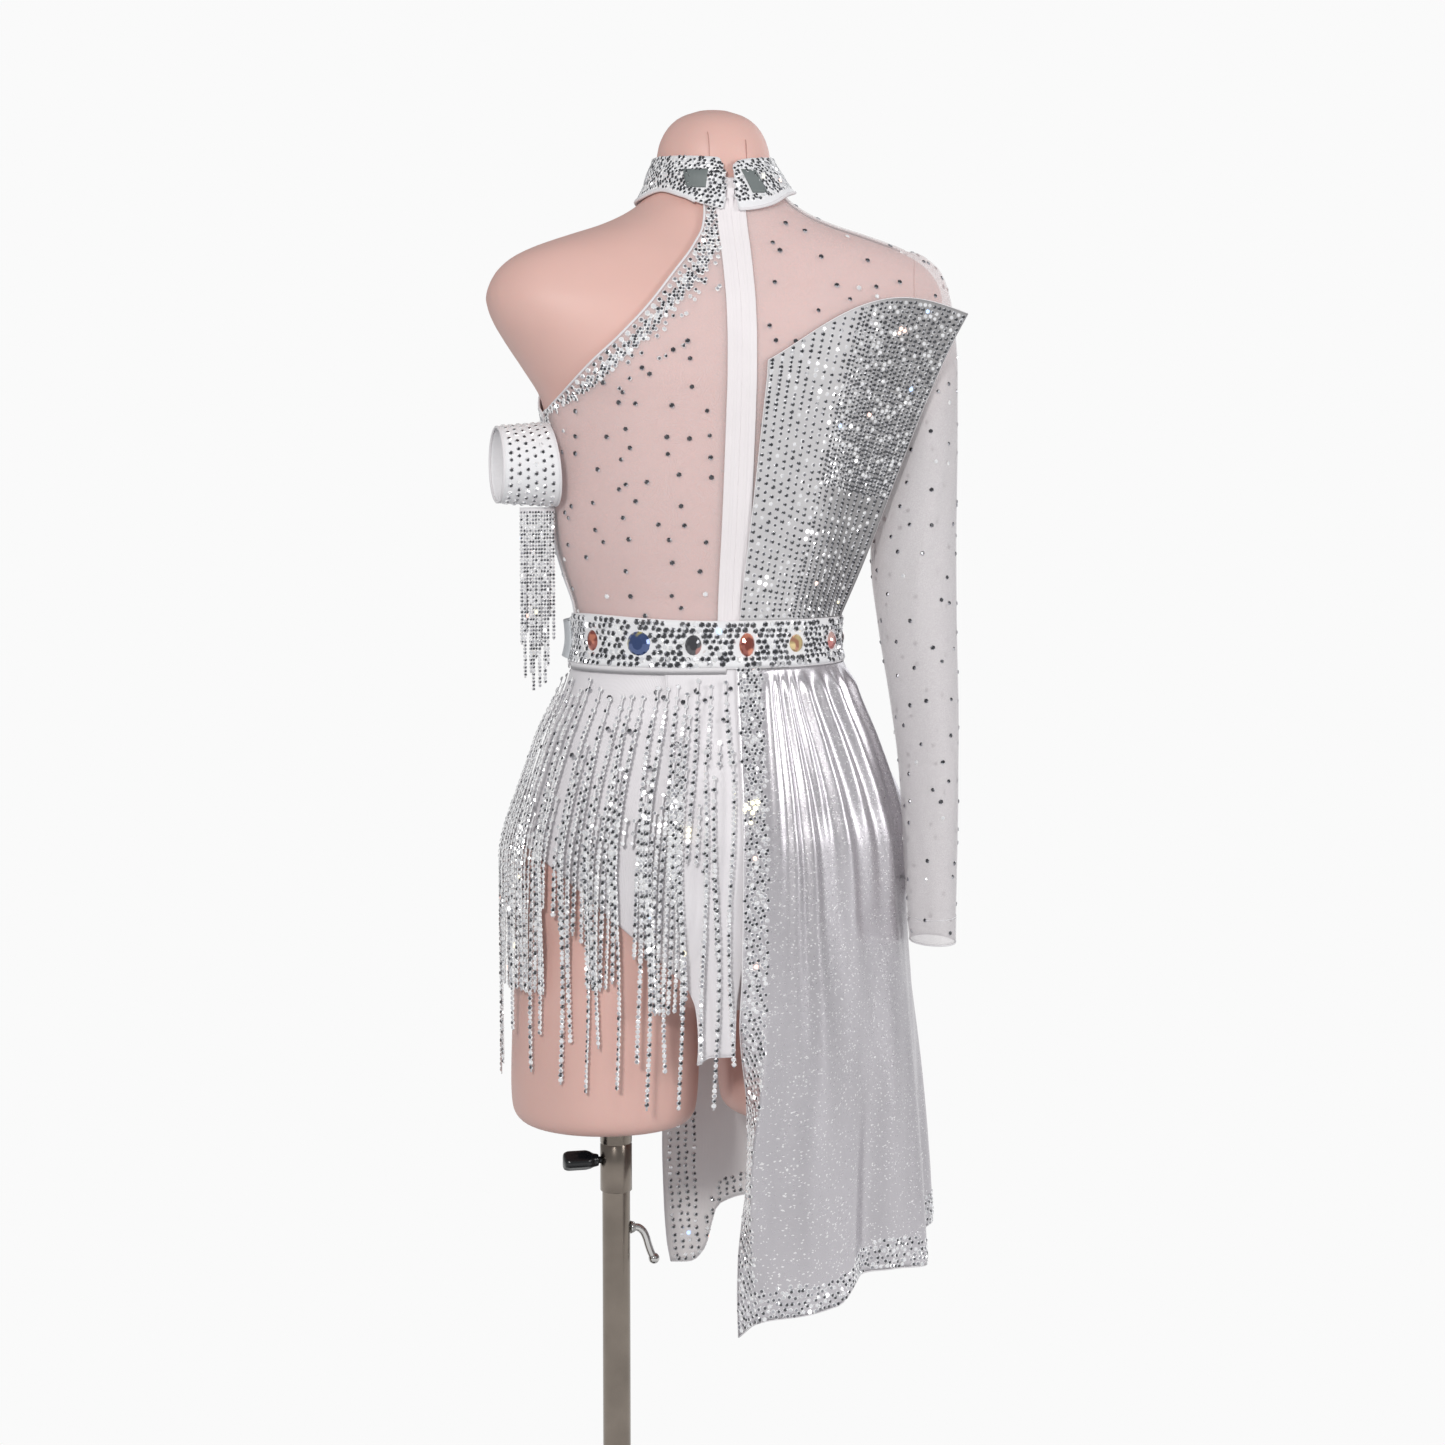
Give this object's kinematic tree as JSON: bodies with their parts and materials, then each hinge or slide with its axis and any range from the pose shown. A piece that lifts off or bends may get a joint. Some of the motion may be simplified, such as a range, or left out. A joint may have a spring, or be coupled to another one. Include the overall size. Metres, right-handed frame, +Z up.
{
  "type": "latin dance dress on a limbless dress form with a pole stand",
  "caption": "One-shoulder latin dance dress with crystal fringe, a half skirt and one sleeve, worn by a limbless dress form that slides and turns on a pole stand.",
  "frame": {"origin": "centre of the base plate's underside, on the pole's axis, at floor level", "axes": "+Z up along the pole, -Y towards the wearer's front, +X towards the wearer's left"},
  "size_m": [0.4785, 0.35, 1.484],
  "materials": {
    "form_gloss_pink": "satin pink plastic skin",
    "sheer_mesh": "sheer white stretch mesh with scattered crystals",
    "white_lycra": "matt white stretch fabric",
    "pearl_satin": "pearl satin with a fine glitter",
    "crystal_stones": "white fabric closely set with clear crystals",
    "brushed_steel": "brushed",
    "black_plastic": "gloss black"
  },
  "bodies": {
    "stand": {"base_plate": "black_plastic", "base_hub": "brushed_steel", "pole": "brushed_steel", "pole_hook": "brushed_steel"},
    "clamp": {"clamp_sleeve": "brushed_steel"},
    "thumb_knob": {"clamp_knob": "black_plastic"},
    "figure": {"dress_form": "form_gloss_pink", "form_socket": "black_plastic", "briefs": "white_lycra", "back_left": "sheer_mesh", "back_right": "sheer_mesh", "front": "white_lycra", "zip": "white_lycra", "collar": "crystal_stones", "wing_panel": "crystal_stones", "sleeve": "sheer_mesh", "belt": "crystal_stones", "belt_tab": "white_lycra", "skirt": "pearl_satin", "tail_panel": "white_lycra", "fringe_back": "crystal_stones", "fringe_front": "crystal_stones", "armband": "crystal_stones", "armband_fringe": "crystal_stones"}
  },
  "joints": [
    {"name": "height_slide", "type": "slide", "parent": "stand", "child": "clamp", "axis": [0, 0, 1], "range_m": [-0.025, 0.15]},
    {"name": "form_turn", "type": "hinge", "parent": "clamp", "child": "figure", "pos_m": [0, 0, 0.66], "axis": [0, 0, 1], "continuous": true},
    {"name": "knob_turn", "type": "hinge", "parent": "clamp", "child": "thumb_knob", "pos_m": [0.03, 0, 0.5895], "axis": [1, 0, 0], "continuous": true}
  ]
}
